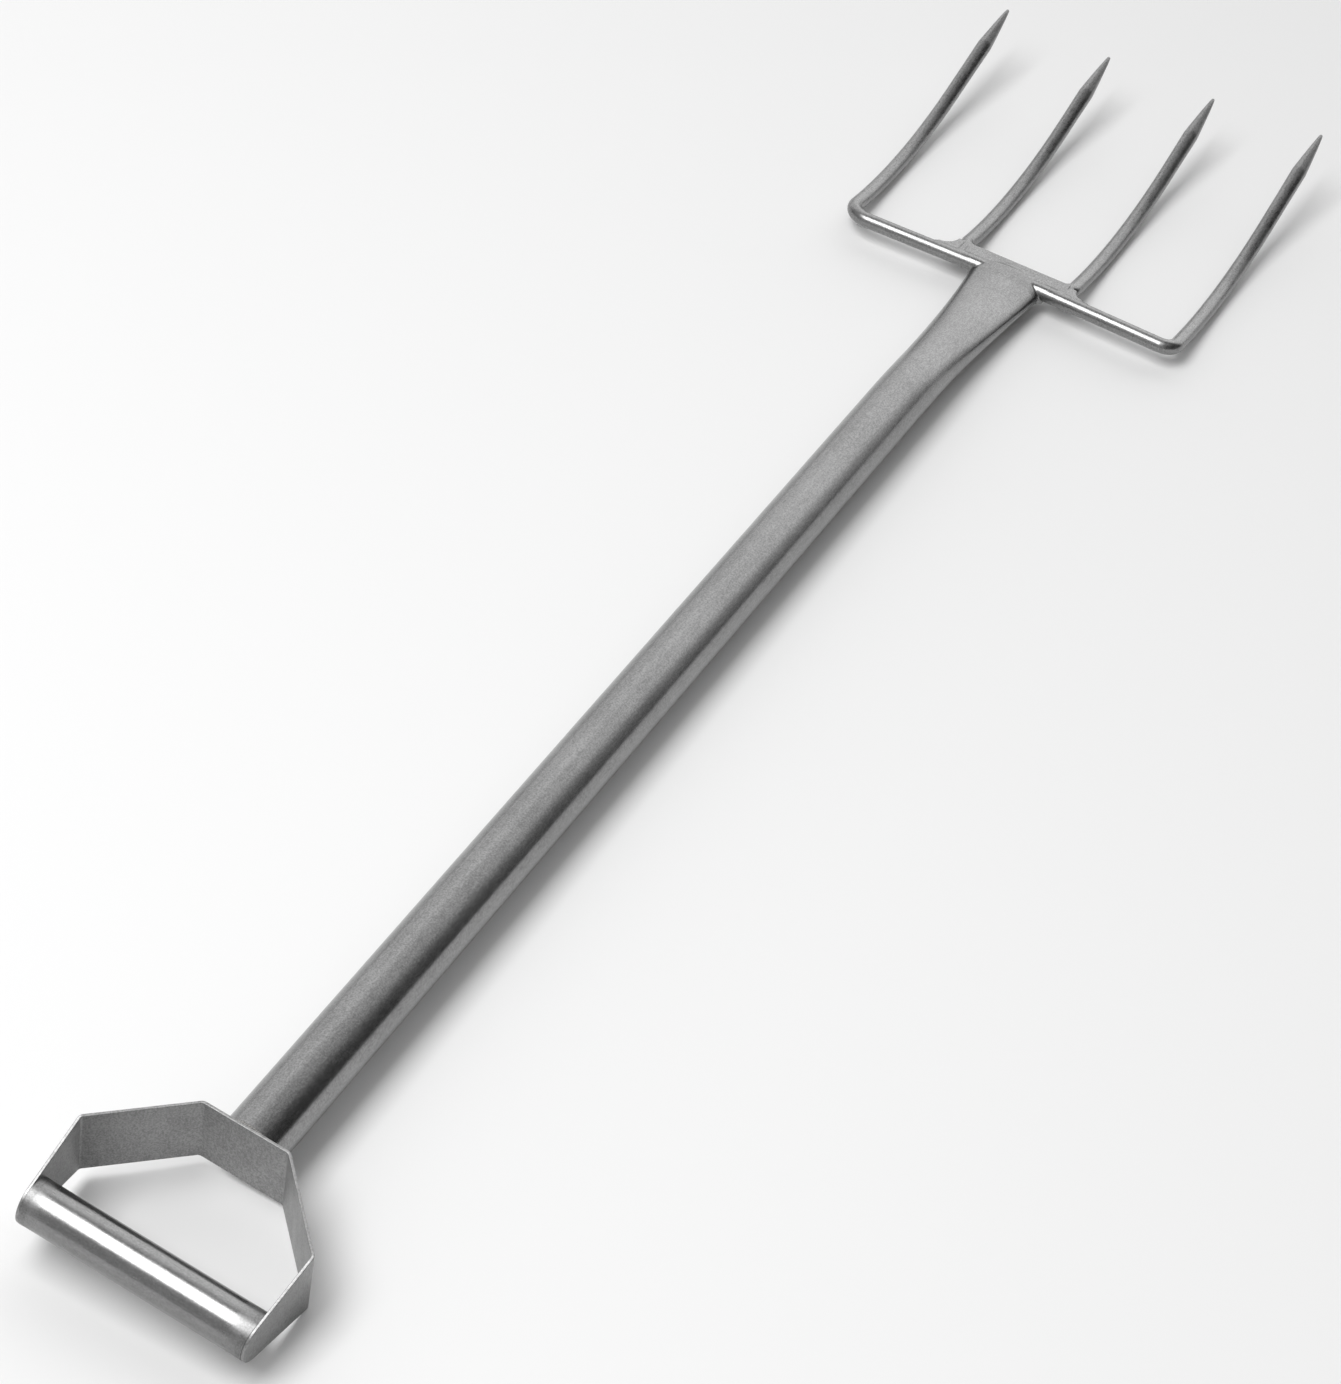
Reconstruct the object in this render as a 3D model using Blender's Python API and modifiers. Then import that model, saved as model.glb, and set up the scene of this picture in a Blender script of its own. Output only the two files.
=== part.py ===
"""A long-handled four-tine fork with a D grip, all welded stainless steel.

The fork lies on its back along Y: the grip is at -Y and the tine points are at +Y. The shapes are
first made in the shaft's own frame, where the shaft axis is Y and the grip tube's axis is y = 0.
The last step sets the whole fork down on z = 0, centred on the origin.
"""

import math

import bmesh
import bpy
from mathutils import Matrix, Vector

# Stock sizes.
GAP = 0.0003
SHAFT_OD = 0.0337
SHAFT_WALL = 0.0020
GRIP_OD = 0.0250
GRIP_WALL = 0.0015
ROD_DIA = 0.0095
STRIP_THICK = 0.0016
STRIP_WIDTH = 0.0434

# The D of the grip bracket, as the right half of its centre line.
LEG_END_X = 0.0649
LEG_BEND = (0.0668, 0.0393)
TOP_BEND = (0.0248, 0.0804)
BEND_RADIUS = 0.0035
GRIP_TWIST = math.radians(4.0)

# The head: two rods, each bent to a U, one inside the other.
CROSSBAR_Y = 0.9037
CROSSBAR_Z = -0.0050
CROSSBAR_BOW = 0.0027
OUTER_HALF = 0.1143
INNER_HALF = 0.0381
OUTER_BENDS = (0.0150, 0.0085)
INNER_BENDS = (0.0110, 0.0085)
INNER_DROP = 0.0012
TIP_Y = 1.1208
TINE_RADIUS = 0.2742
TINE_ROOT_SLOPE = math.radians(-12.8)
TINE_END_SLOPE = math.radians(17.8)
POINT_LENGTH = 0.032
SWELL_LENGTH = 0.024
SWELL = 1.03
TIP_RADIUS = 0.0009

# The flattened end of the shaft. Its upper half laps over the crossbar.
FLAT_HALF_WIDTH = 0.0234
FLAT_HALF_HEIGHT = 0.0088
FLAT_Z = -0.0070
FLATTEN_RUN = 0.150
FLARE_RUN = 0.110
SHAFT_LAP = 0.0042

# The lowest points are the grip's right corner and the bellies of the tines.
REST_TILT = math.radians(-0.515)

STEEL = (0.50, 0.50, 0.49)
WELD = (0.46, 0.46, 0.45)

ROD = ROD_DIA / 2
SHAFT_R = SHAFT_OD / 2
GRIP_R = GRIP_OD / 2
INNER_Y = CROSSBAR_Y + math.sqrt((ROD_DIA + GAP) ** 2 - INNER_DROP**2)
INNER_Z = CROSSBAR_Z - INNER_DROP
SHAFT_TOP_Y = TOP_BEND[1] + STRIP_THICK / 2 + GAP
LEG_FACE_X = LEG_END_X - STRIP_THICK / 2
SHAFT_END_Y = CROSSBAR_Y + SHAFT_LAP
COPE_Y = CROSSBAR_Y - ROD * 0.6
OUTER_ROD = (OUTER_HALF, CROSSBAR_Y, CROSSBAR_Z, CROSSBAR_BOW, OUTER_BENDS)
INNER_ROD = (INNER_HALF, INNER_Y, INNER_Z, 0.0, INNER_BENDS)


def clear_scene():
    for obj in list(bpy.data.objects):
        bpy.data.objects.remove(obj, do_unlink=True)


def new_collection(name, hidden=False):
    collection = bpy.data.collections.new(name)
    bpy.context.scene.collection.children.link(collection)
    collection.hide_render = hidden
    return collection


def new_material(name, colour, roughness):
    material = bpy.data.materials.new(name)
    material.use_nodes = True
    shader = material.node_tree.nodes["Principled BSDF"]
    shader.inputs["Base Color"].default_value = (*colour, 1.0)
    shader.inputs["Roughness"].default_value = roughness
    shader.inputs["Metallic"].default_value = 1.0
    material.diffuse_color = (*colour, 1.0)
    return material


def place(obj, collection):
    collection.objects.link(obj)
    if collection is cutters:
        obj.hide_render = True
        obj.display_type = "WIRE"
    return obj


def object_of(name, bm, collection, smooth=True):
    mesh = bpy.data.meshes.new(name)
    bmesh.ops.recalc_face_normals(bm, faces=bm.faces)
    bm.to_mesh(mesh)
    bm.free()
    for polygon in mesh.polygons:
        polygon.use_smooth = smooth
    return place(bpy.data.objects.new(name, mesh), collection)


def finish(obj, colour, roughness, sharp=30.0):
    """Gives the object its own material, and keeps its hard edges hard under smooth shading."""
    obj.data.materials.clear()
    obj.data.materials.append(new_material(obj.name + "_steel", colour, roughness))
    obj.data.set_sharp_from_angle(angle=math.radians(sharp))
    return obj


def baked(obj):
    """The object with its modifiers applied, so that a later cutter can use it."""
    graph = bpy.context.evaluated_depsgraph_get()
    graph.update()
    mesh = bpy.data.meshes.new_from_object(obj.evaluated_get(graph))
    bm = bmesh.new()
    bm.from_mesh(mesh)
    bmesh.ops.remove_doubles(bm, verts=bm.verts, dist=1e-6)
    bm.to_mesh(mesh)
    bm.free()
    old = obj.data
    name = obj.name
    if isinstance(old, bpy.types.Curve):
        users = list(obj.users_collection)
        hidden = obj.hide_render
        bpy.data.objects.remove(obj, do_unlink=True)
        obj = bpy.data.objects.new(name, mesh)
        for collection in users:
            collection.objects.link(obj)
        obj.hide_render = hidden
    else:
        obj.modifiers.clear()
        obj.data = mesh
    obj.data.name = name
    for polygon in obj.data.polygons:
        polygon.use_smooth = True
    return obj


def boolean(obj, other, operation="DIFFERENCE"):
    modifier = obj.modifiers.new(operation.lower() + "_" + other.name, "BOOLEAN")
    modifier.object = other
    modifier.operation = operation
    modifier.solver = "EXACT"
    return modifier


def screwed(name, profile, steps, collection):
    """A ring of the closed profile of (radius, height) points, turned about Z."""
    bm = bmesh.new()
    verts = [bm.verts.new((r, 0.0, h)) for r, h in profile]
    for a, b in zip(verts, verts[1:] + verts[:1]):
        bm.edges.new((a, b))
    obj = object_of(name, bm, collection)
    modifier = obj.modifiers.new("turn", "SCREW")
    modifier.angle = math.tau
    modifier.steps = steps
    modifier.render_steps = steps
    modifier.use_merge_vertices = True
    modifier.merge_threshold = 0.00001
    modifier.use_smooth_shade = True
    return obj


def turned_along(obj, origin, axis):
    """Sets an object that was made about Z at origin, with its Z axis along axis."""
    turn = Vector((0, 0, 1)).rotation_difference(Vector(axis)).to_matrix().to_4x4()
    obj.matrix_world = Matrix.Translation(Vector(origin)) @ turn
    return obj


def rounded_path(corners, radii, steps=8):
    """The corner points as a path whose corners are arcs of the given radii."""
    points = [Vector(corners[0])]
    for i in range(1, len(corners) - 1):
        corner = Vector(corners[i])
        back = (Vector(corners[i - 1]) - corner).normalized()
        ahead = (Vector(corners[i + 1]) - corner).normalized()
        half = back.angle(ahead) / 2
        radius = radii[i - 1]
        centre = corner + (back + ahead).normalized() * (radius / math.sin(half))
        start = corner + back * (radius / math.tan(half)) - centre
        end = corner + ahead * (radius / math.tan(half)) - centre
        turn = start.angle(end)
        for k in range(steps + 1):
            t = k / steps
            low = math.sin((1 - t) * turn) / math.sin(turn)
            high = math.sin(t * turn) / math.sin(turn)
            points.append(centre + start * low + end * high)
    points.append(Vector(corners[-1]))
    return points


def rod(name, points, radii, depth, collection, resolution=5):
    """A round rod along the points, whose radius at each point is depth times its entry in radii."""
    curve = bpy.data.curves.new(name, "CURVE")
    curve.dimensions = "3D"
    curve.twist_mode = "MINIMUM"
    curve.bevel_depth = depth
    curve.bevel_resolution = resolution
    curve.use_fill_caps = True
    spline = curve.splines.new("POLY")
    spline.points.add(len(points) - 1)
    for target, point, radius in zip(spline.points, points, radii):
        target.co = (*point, 1.0)
        target.radius = radius
    return baked(place(bpy.data.objects.new(name, curve), collection))


def ease(t):
    t = min(max(t, 0.0), 1.0)
    return t * t * (3 - 2 * t)


# The grip bracket, the grip tube and their welds.


def strip_corners():
    right = [(LEG_END_X, -0.02), LEG_BEND, TOP_BEND]
    foot = Vector(LEG_BEND) + (Vector((LEG_END_X, 0.0)) - Vector(LEG_BEND)) * 1.6
    right[0] = (foot.x, foot.y)
    left = [(-x, y) for x, y in reversed(right)]
    return [(x, y, 0.0) for x, y in right + left]


def side_profile():
    """The strip seen from the side: full width as far as the leg bends, then a taper to a round end."""
    half = STRIP_WIDTH / 2
    reach = math.hypot(LEG_BEND[1], half)
    lean = math.atan2(half, LEG_BEND[1]) + math.acos(GRIP_R / reach)
    steps = 20
    end = [lean + (math.tau - 2 * lean) * k / steps for k in range(steps + 1)]
    outline = [(LEG_BEND[1], half)]
    outline += [(GRIP_R * math.cos(a), GRIP_R * math.sin(a)) for a in end]
    outline += [(LEG_BEND[1], -half), (0.11, -half), (0.11, half)]
    return outline


def make_grip_bracket():
    curve = bpy.data.curves.new("grip_bracket", "CURVE")
    curve.dimensions = "2D"
    curve.fill_mode = "NONE"
    curve.extrude = STRIP_WIDTH
    points = rounded_path(strip_corners(), [BEND_RADIUS] * 4)
    spline = curve.splines.new("POLY")
    spline.points.add(len(points) - 1)
    for target, point in zip(spline.points, points):
        target.co = (*point, 1.0)
    bracket = baked(place(bpy.data.objects.new("grip_bracket", curve), parts))
    solid = bracket.modifiers.new("thickness", "SOLIDIFY")
    solid.thickness = STRIP_THICK
    solid.offset = 0.0
    solid.use_even_offset = True
    bracket = baked(bracket)

    bm = bmesh.new()
    face = bm.faces.new([bm.verts.new((-0.09, y, z)) for y, z in side_profile()])
    made = bmesh.ops.extrude_face_region(bm, geom=[face])
    moved = [v for v in made["geom"] if isinstance(v, bmesh.types.BMVert)]
    bmesh.ops.translate(bm, vec=(0.18, 0, 0), verts=moved)
    outline = object_of("bracket_outline", bm, cutters)
    boolean(bracket, outline, "INTERSECT")
    bracket = baked(bracket)
    edge = bracket.modifiers.new("broken_edges", "BEVEL")
    edge.width = 0.0004
    edge.segments = 2
    edge.limit_method = "ANGLE"
    edge.angle_limit = math.radians(50)
    return finish(baked(bracket), STEEL, 0.42)


def mitred(obj):
    """Slants the ends of a piece that lies along X, to match the lean of the legs."""
    slope = (LEG_BEND[0] - LEG_END_X) / LEG_BEND[1]
    for vertex in obj.data.vertices:
        place_now = obj.matrix_world @ vertex.co
        place_now.x += math.copysign(slope, place_now.x) * place_now.y
        vertex.co = obj.matrix_world.inverted() @ place_now
    return obj


def make_grip_tube():
    half = LEG_FACE_X - 0.0018
    inner = GRIP_R - GRIP_WALL
    profile = [(GRIP_R, half), (GRIP_R, -half), (inner, -half), (inner, half)]
    tube = screwed("grip_tube", profile, 64, parts)
    return finish(mitred(baked(turned_along(tube, (0, 0, 0), (1, 0, 0)))), STEEL, 0.32)


def make_grip_weld(name, side):
    """The seam between the tube and a leg, filled and ground flush."""
    inner = GRIP_R - GRIP_WALL
    far = LEG_FACE_X - GAP - 0.0001
    near = LEG_FACE_X - 0.0018 + GAP
    profile = [(GRIP_R, far), (GRIP_R + 0.0001, (far + near) / 2), (GRIP_R, near)]
    profile += [(inner, near), (inner, far)]
    seam = screwed(name, profile, 64, parts)
    return finish(mitred(baked(turned_along(seam, (0, 0, 0), (side, 0, 0)))), WELD, 0.45)


def make_shaft_grip_weld():
    """The fillet bead round the shaft where it meets the flat of the bracket."""
    foot = TOP_BEND[1] + STRIP_THICK / 2 + GAP
    inner = SHAFT_R + GAP
    profile = [(inner, foot), (inner, foot + 0.0032)]
    profile += [(inner + 0.0012, foot + 0.0024), (inner + 0.0024, foot + 0.0012), (inner + 0.0032, foot)]
    bead = screwed("weld_shaft_to_bracket", profile, 64, parts)
    return finish(baked(turned_along(bead, (0, 0, 0), (0, 1, 0))), WELD, 0.45)


# The shaft.


def shaft_section(y):
    """Half width, half height, height of the centre, and squareness of the section at y."""
    flat = ease((y - (CROSSBAR_Y - ROD - FLATTEN_RUN)) / FLATTEN_RUN)
    wide = min(max((y - (CROSSBAR_Y - ROD - FLARE_RUN)) / FLARE_RUN, 0.0), 1.0) ** 1.5
    width = SHAFT_R + (FLAT_HALF_WIDTH - SHAFT_R) * wide
    height = SHAFT_R + (FLAT_HALF_HEIGHT - SHAFT_R) * flat
    return width, height, FLAT_Z * flat, 2.0 + 0.3 * flat


def section_ring(y, grow, count=64):
    width, height, rise, power = shaft_section(y)
    ring = []
    for k in range(count):
        a = math.tau * k / count
        c, s = math.cos(a), math.sin(a)
        x = (width + grow) * math.copysign(abs(c) ** (2 / power), c)
        z = (height + grow) * math.copysign(abs(s) ** (2 / power), s)
        ring.append(Vector((x, y, z + rise)))
    return ring


def bridge(bm, first, second):
    count = len(first)
    for k in range(count):
        n = (k + 1) % count
        bm.faces.new((first[k], first[n], second[n], second[k]))


def shaft_stations(end):
    flare = CROSSBAR_Y - ROD - FLATTEN_RUN
    steps = 22
    return [SHAFT_TOP_Y, flare] + [flare + (end - flare) * k / steps for k in range(1, steps + 1)]


def shaft_loft(name, grow, bore, end, collection):
    """The shaft's outside, grown by the given amount, with its bore if bore is set."""
    bm = bmesh.new()
    ys = shaft_stations(end)
    outside = [[bm.verts.new(p) for p in section_ring(y, grow)] for y in ys]
    for a, b in zip(outside, outside[1:]):
        bridge(bm, a, b)
    if bore:
        inside = [[bm.verts.new(p) for p in section_ring(y, -SHAFT_WALL)] for y in ys]
        for a, b in zip(inside, inside[1:]):
            bridge(bm, b, a)
        bridge(bm, inside[0], outside[0])
        bridge(bm, outside[-1], inside[-1])
    else:
        bm.faces.new(outside[0])
        bm.faces.new(outside[-1])
    return object_of(name, bm, collection)


def make_shaft():
    shaft = shaft_loft("shaft", 0.0, True, SHAFT_END_Y, parts)
    cope = block(
        "shaft_cope",
        (-0.04, COPE_Y, -0.03),
        (0.04, CROSSBAR_Y + 0.03, CROSSBAR_Z + ROD * 0.6),
        cutters,
    )
    for cutter in (cut_outer, cope, cut_inner):
        boolean(shaft, cutter)
        shaft = baked(shaft)
    return finish(shaft, STEEL, 0.36)


# The head.


def tine_height(run):
    """How far a tine has risen at this distance from its crossbar: an arc, then a straight."""
    arc_run = TINE_RADIUS * (math.sin(TINE_END_SLOPE) - math.sin(TINE_ROOT_SLOPE))
    slope = math.asin(math.sin(TINE_ROOT_SLOPE) + min(run, arc_run) / TINE_RADIUS)
    rise = TINE_RADIUS * (math.cos(TINE_ROOT_SLOPE) - math.cos(slope))
    return rise + max(run - arc_run, 0.0) * math.tan(TINE_END_SLOPE)


def point_radius(distance):
    """The rod's radius, as a share of its own, at a distance back from the tip."""
    if distance >= POINT_LENGTH:
        swell = 1 - abs((distance - POINT_LENGTH) / SWELL_LENGTH)
        return 1 + (SWELL - 1) * ease(swell)
    t = max(distance, 0.0) / POINT_LENGTH
    low = TIP_RADIUS / ROD
    return low + (SWELL - low) * t**0.82


def half_rod(half, y, z, bow, bend_radius):
    """The centre line of a U's right half: half of its crossbar, a bend and a tine."""
    root = y - bow
    first = root + bend_radius * 1.5
    shaped = TIP_Y - POINT_LENGTH - SWELL_LENGTH
    plain = [first + (shaped - first) * k / 26 for k in range(26)]
    fine = [shaped + (TIP_Y - shaped) * k / 16 for k in range(17)]
    tine = [Vector((half, py, z + tine_height(py - root))) for py in plain + fine]
    corners = [(half * 0.4, y - bow * 0.16, z), (half, root, z), tine[0]]
    bend = rounded_path(corners, [bend_radius], 10)[:-1]
    return [Vector((half * 0.1, y, z))] + bend + tine


def bent_rod(name, half, y, z, bow, bends, grow, collection):
    """One rod bent by hand to a U, with its left and right bend radii."""
    left = [Vector((-p.x, p.y, p.z)) for p in half_rod(half, y, z, bow, bends[0])]
    points = left[::-1] + half_rod(half, y, z, bow, bends[1])
    radii = [point_radius(TIP_Y - p.y) + grow / ROD for p in points]
    return rod(name, points, radii, ROD, collection)


def make_outer_rod():
    return finish(bent_rod("outer_tine_rod", *OUTER_ROD, 0.0, parts), STEEL, 0.34)


def make_inner_rod():
    return finish(bent_rod("inner_tine_rod", *INNER_ROD, 0.0, parts), STEEL, 0.34)


def block(name, low, high, collection):
    bm = bmesh.new()
    bmesh.ops.create_cube(bm, size=1.0)
    size = Vector(high) - Vector(low)
    centre = (Vector(high) + Vector(low)) / 2
    bmesh.ops.scale(bm, vec=size, verts=bm.verts)
    bmesh.ops.translate(bm, vec=centre, verts=bm.verts)
    return object_of(name, bm, collection)


def lofted(name, sections):
    """A closed solid through the sections, each a ring of the same number of points."""
    bm = bmesh.new()
    rows = [[bm.verts.new(point) for point in section] for section in sections]
    for a, b in zip(rows, rows[1:]):
        bridge(bm, a, b)
    bm.faces.new(rows[0])
    bm.faces.new(rows[-1])
    return object_of(name, bm, parts)


def cut_by(obj, *others):
    for other in others:
        boolean(obj, other)
    return finish(baked(obj), WELD, 0.48)


def make_rod_fill(name, side):
    """The groove between the two rods, filled with weld and ground level with the rods."""
    top = CROSSBAR_Z + side * (ROD - 0.0003)
    low = INNER_Z + side * 0.0006
    y0 = CROSSBAR_Y + 0.0006
    y1 = INNER_Y - 0.0006
    half = INNER_HALF - 0.0045
    section = [(y0, top), (y1, top - side * 0.0011), (INNER_Y - 0.004, low), (CROSSBAR_Y + 0.004, low)]
    return lofted(name, [[(x, y, z) for y, z in section] for x in (-half, half)])


def make_root_fill(name, side):
    """The notch outside an inner tine's bend, filled to the crossbar with a hollow fillet."""
    inner = side * (INNER_HALF - 0.0035)
    corner = side * (INNER_HALF + ROD * 0.55)
    toe = side * (INNER_HALF + ROD * 0.55 + 0.0040)
    y_bar = CROSSBAR_Y + 0.0015
    y_front = CROSSBAR_Y + ROD
    y_up = y_front + 0.0062
    arc = []
    for k in range(7):
        a = math.pi / 2 * k / 6
        arc.append((toe - (toe - corner) * math.sin(a), y_up - (y_up - y_front) * math.cos(a)))
    outline = [(inner, y_bar), (toe, y_bar)] + arc + [(inner, y_up)]
    thick = ROD * 0.55
    middle = (CROSSBAR_Z + INNER_Z) / 2
    rows = [[(x, y, z) for x, y in outline] for z in (middle - thick, middle + thick)]
    return lofted(name, rows)


def make_toe_weld(name):
    """The bead that runs from the end of the shaft's upper wall down to the rods."""
    foot = INNER_Z + ROD - 0.0002
    top = FLAT_Z + FLAT_HALF_HEIGHT - 0.0002
    y0 = SHAFT_END_Y + GAP
    y1 = INNER_Y + 0.0016
    half = FLAT_HALF_WIDTH - 0.0030
    steps = 14
    rows = []
    for k in range(steps + 1):
        x = -half + 2 * half * k / steps
        fade = math.sqrt(max(0.0, 1 - 0.9 * (x / half) ** 2))
        crest = foot + (top - foot) * fade
        reach = y0 + (y1 - y0) * (0.45 + 0.55 * fade)
        section = [(y0, foot - 0.003), (y0, crest)]
        section += [(y0 + (reach - y0) * 0.4, foot + (crest - foot) * 0.76)]
        section += [(y0 + (reach - y0) * 0.75, foot + (crest - foot) * 0.38)]
        section += [(reach, foot), (reach, foot - 0.003)]
        rows.append([(x, y, z) for y, z in section])
    return lofted(name, rows)


def make_under_weld(name):
    """The bead that closes the shaft's lower wall up to the underside of the crossbar."""
    back = COPE_Y + GAP
    front = CROSSBAR_Y + 0.0015
    steps = 12
    rows = []
    for k in range(steps + 1):
        x = (-1 + 2 * k / steps) * (FLAT_HALF_WIDTH - 0.0050)
        low = FLAT_Z - FLAT_HALF_HEIGHT * math.sqrt(1 - (x / FLAT_HALF_WIDTH) ** 2)
        section = [(back, low), (back + 0.0020, low + 0.0012), (front, CROSSBAR_Z - ROD - 0.0006)]
        section += [(front, CROSSBAR_Z), (back, CROSSBAR_Z)]
        rows.append([(x, y, z) for y, z in section])
    return lofted(name, rows)


def make_side_weld(name, side):
    """The bead down the edge of the flattened end, where it meets the back of the crossbar."""
    points = []
    steps = 8
    for k in range(steps + 1):
        a = -1 + 2 * k / steps
        x = side * (FLAT_HALF_WIDTH + 0.0002 - 0.0014 * a * a)
        points.append(Vector((x, CROSSBAR_Y - ROD - 0.0004, FLAT_Z + 0.0010 + a * 0.0038)))
    return rod(name, points, [0.7] + [1.0] * (steps - 1) + [0.7], 0.0018, parts, 3)


def make_welds():
    for weld in (make_rod_fill("weld_rods_top", 1), make_rod_fill("weld_rods_under", -1)):
        cut_by(weld, cut_outer, cut_inner, cut_shaft)
    cut_by(make_toe_weld("weld_shaft_top"), cut_outer, cut_inner, cut_fill)
    cut_by(make_under_weld("weld_shaft_under"), cut_outer, cut_inner)
    for name, side in (("weld_shaft_left", -1), ("weld_shaft_right", 1)):
        cut_by(make_side_weld(name, side), cut_outer, cut_shaft)
    for name, side in (("weld_root_left", -1), ("weld_root_right", 1)):
        cut_by(make_root_fill(name, side), cut_outer, cut_inner)


def set_down():
    """Turns the grip a little about the shaft, then lays the whole fork on z = 0 about the origin."""
    twist = Matrix.Rotation(GRIP_TWIST, 4, "Y")
    for name in ("grip_bracket", "grip_tube", "weld_grip_left", "weld_grip_right"):
        bpy.data.objects[name].matrix_world = twist @ bpy.data.objects[name].matrix_world
    tilt = Matrix.Rotation(REST_TILT, 4, "X")
    for obj in list(parts.objects) + list(cutters.objects):
        obj.matrix_world = tilt @ obj.matrix_world
    bpy.context.view_layer.update()
    corners = [obj.matrix_world @ vertex.co for obj in parts.objects for vertex in obj.data.vertices]
    low = Vector([min(c[i] for c in corners) for i in range(3)])
    high = Vector([max(c[i] for c in corners) for i in range(3)])
    shift = Matrix.Translation((-(low.x + high.x) / 2, -(low.y + high.y) / 2, -low.z))
    for obj in list(parts.objects) + list(cutters.objects):
        obj.matrix_world = shift @ obj.matrix_world


clear_scene()
parts = new_collection("four_tine_fork")
cutters = new_collection("cutters", hidden=True)

cut_outer = bent_rod("clear_outer", *OUTER_ROD, GAP, cutters)
cut_inner = bent_rod("clear_inner", *INNER_ROD, GAP, cutters)
cut_shaft = shaft_loft("clear_shaft", GAP, False, SHAFT_END_Y + GAP, cutters)
cut_fill = block(
    "clear_fill",
    (-INNER_HALF, CROSSBAR_Y, CROSSBAR_Z - ROD - 0.0001),
    (INNER_HALF, INNER_Y + ROD, CROSSBAR_Z + ROD + 0.0001),
    cutters,
)

make_grip_bracket()
make_grip_tube()
make_grip_weld("weld_grip_left", -1)
make_grip_weld("weld_grip_right", 1)
make_shaft()
make_shaft_grip_weld()
make_outer_rod()
make_inner_rod()
make_welds()
set_down()
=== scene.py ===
import math

import bmesh
import bpy
from mathutils import Matrix, Vector, noise


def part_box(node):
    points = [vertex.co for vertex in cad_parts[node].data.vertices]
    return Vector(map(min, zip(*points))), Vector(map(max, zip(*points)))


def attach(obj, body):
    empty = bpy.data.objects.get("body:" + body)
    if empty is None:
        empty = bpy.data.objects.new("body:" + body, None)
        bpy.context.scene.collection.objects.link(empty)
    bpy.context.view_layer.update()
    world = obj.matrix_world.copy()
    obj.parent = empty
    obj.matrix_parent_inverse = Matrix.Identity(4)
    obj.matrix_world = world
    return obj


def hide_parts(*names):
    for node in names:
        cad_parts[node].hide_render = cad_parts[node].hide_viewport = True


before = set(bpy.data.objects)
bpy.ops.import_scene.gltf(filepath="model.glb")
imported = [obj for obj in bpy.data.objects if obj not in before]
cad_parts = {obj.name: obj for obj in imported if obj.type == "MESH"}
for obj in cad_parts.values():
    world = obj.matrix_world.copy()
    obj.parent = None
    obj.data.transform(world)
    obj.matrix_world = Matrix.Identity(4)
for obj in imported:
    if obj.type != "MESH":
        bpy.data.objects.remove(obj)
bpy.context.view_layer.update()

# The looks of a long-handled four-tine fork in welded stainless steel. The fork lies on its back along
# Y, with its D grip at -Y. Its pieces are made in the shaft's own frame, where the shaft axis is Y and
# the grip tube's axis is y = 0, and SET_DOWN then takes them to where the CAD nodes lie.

MM = 0.001

# Stock sizes and the D of the grip.
SHAFT_R = 16.85 * MM
GRIP_R = 12.5 * MM
ROD = 4.75 * MM
STRIP_THICK = 1.6 * MM
LEG_END_X = 64.9 * MM
LEG_BEND = (66.8 * MM, 39.3 * MM)
STRIP_TOP_Y = 80.4 * MM
GRIP_TWIST = math.radians(4.0)

# The head: two rods, each bent to a U, and the flattened end of the shaft.
CROSSBAR_Y = 903.7 * MM
CROSSBAR_Z = -5.0 * MM
CROSSBAR_BOW = 2.7 * MM
INNER_DROP = 1.2 * MM
INNER_Y = CROSSBAR_Y + math.sqrt((2 * ROD + 0.3 * MM) ** 2 - INNER_DROP**2)
INNER_Z = CROSSBAR_Z - INNER_DROP
OUTER_HALF = 114.3 * MM
INNER_HALF = 38.1 * MM
OUTER_BENDS = (15.0 * MM, 8.5 * MM)
INNER_BENDS = (11.0 * MM, 8.5 * MM)
TIP_Y = 1120.8 * MM
TINE_RADIUS = 274.2 * MM
TINE_ROOT_SLOPE = math.radians(-12.8)
TINE_END_SLOPE = math.radians(17.8)
POINT_LENGTH = 32.0 * MM
SWELL_LENGTH = 24.0 * MM
SWELL = 1.03
TIP_RADIUS = 0.9 * MM
FLAT_HALF_WIDTH = 23.4 * MM
FLAT_HALF_HEIGHT = 8.8 * MM
FLAT_Z = -7.0 * MM
FLATTEN_RUN = 150.0 * MM
FLARE_RUN = 110.0 * MM
SHAFT_LAP = 4.2 * MM

REST_TILT = math.radians(-0.515)
LOW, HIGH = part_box("grip_tube")
SET_DOWN = Matrix.Translation((LOW + HIGH) / 2) @ Matrix.Rotation(REST_TILT, 4, "X")
GRIP_DOWN = SET_DOWN @ Matrix.Rotation(GRIP_TWIST, 4, "Y")


# Camera. It looks at the middle of the shaft from the grip end, a little from the right.

CAMERA_TURN = math.radians(25.72)
CAMERA_HEIGHT = math.radians(45.47)
CAMERA_ROLL = math.radians(6.67)
CAMERA_DISTANCE = 1.9764
CAMERA_TARGET = Vector((0.0117, 0.4655, 0.0))
CAMERA_LENS = 94.07


def make_camera():
    level = math.cos(CAMERA_HEIGHT)
    back = Vector((math.sin(CAMERA_TURN) * level, -math.cos(CAMERA_TURN) * level, math.sin(CAMERA_HEIGHT)))
    right = (-back).cross(Vector((0, 0, 1))).normalized()
    up = back.cross(right)
    across = right * math.cos(CAMERA_ROLL) + up * math.sin(CAMERA_ROLL)
    upward = up * math.cos(CAMERA_ROLL) - right * math.sin(CAMERA_ROLL)
    turn = Matrix((across, upward, back)).transposed().to_4x4()
    data = bpy.data.cameras.new("camera")
    data.lens = CAMERA_LENS
    data.clip_end = 50.0
    camera = bpy.data.objects.new("camera", data)
    bpy.context.scene.collection.objects.link(camera)
    camera.matrix_world = SET_DOWN @ Matrix.Translation(CAMERA_TARGET + back * CAMERA_DISTANCE) @ turn
    bpy.context.scene.camera = camera


# Materials.


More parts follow.
